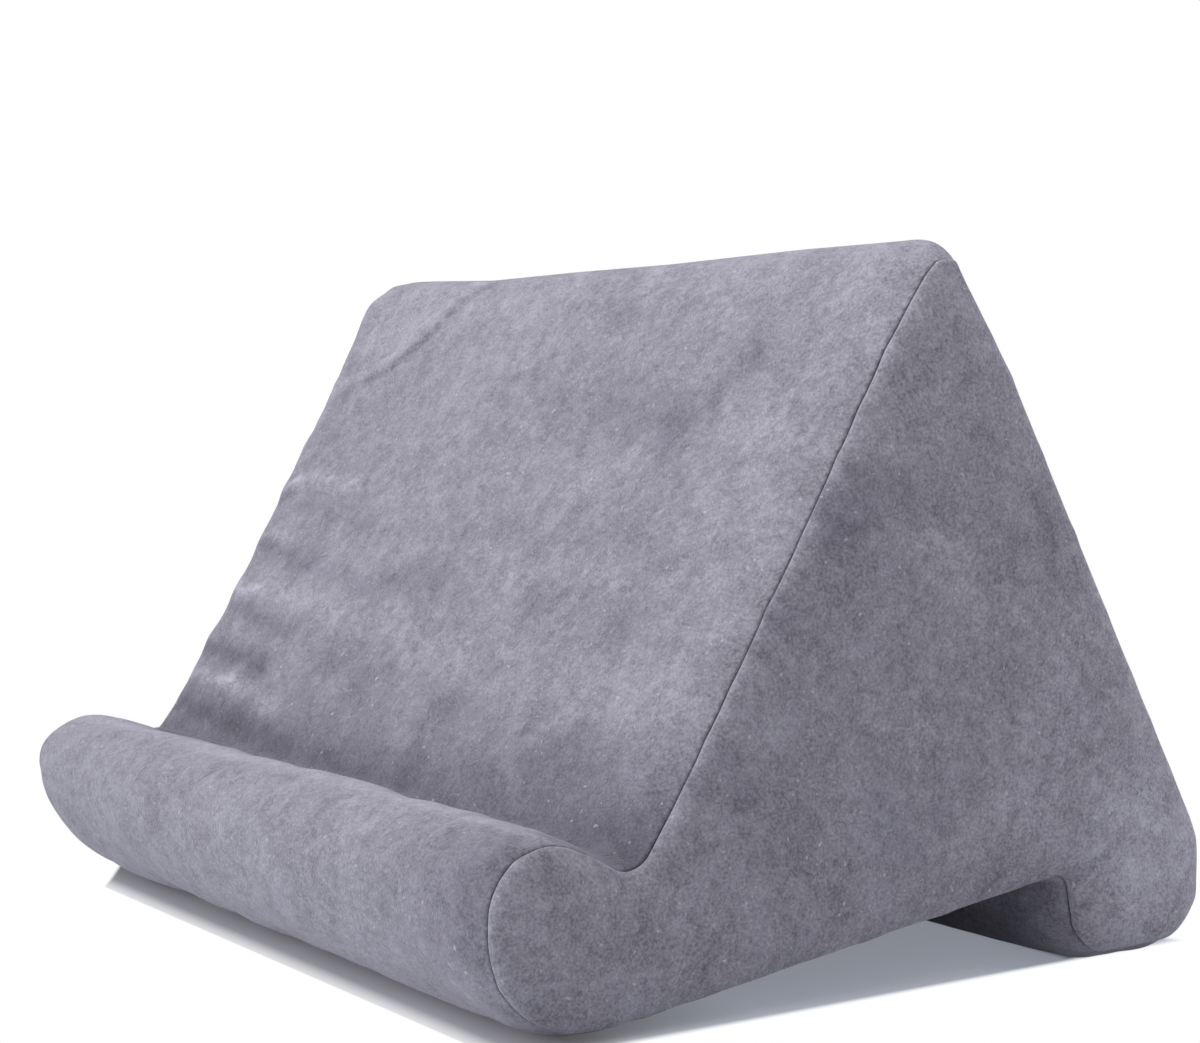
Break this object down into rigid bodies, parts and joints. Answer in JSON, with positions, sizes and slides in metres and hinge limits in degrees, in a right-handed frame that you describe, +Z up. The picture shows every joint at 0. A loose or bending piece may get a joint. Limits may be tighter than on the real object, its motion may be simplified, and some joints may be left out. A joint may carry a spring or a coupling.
{
  "type": "tablet cushion stand",
  "caption": "Soft wedge cushion in plush cloth with a padded lip and groove that hold a tablet against its steep front slope.",
  "frame": {"origin": "on the floor, at the middle of the width and of the depth", "axes": "+X to the right along the width, -Y towards the lip and the reader, +Z up"},
  "size_m": [0.31, 0.22, 0.189],
  "materials": {
    "plush": "short-pile grey plush with a mottled nap",
    "foam": "open-cell foam"
  },
  "bodies": {
    "root": {"cover_strip": "plush", "cover_end_left": "plush", "cover_end_right": "plush", "foam_core": "foam"}
  },
  "joints": []
}
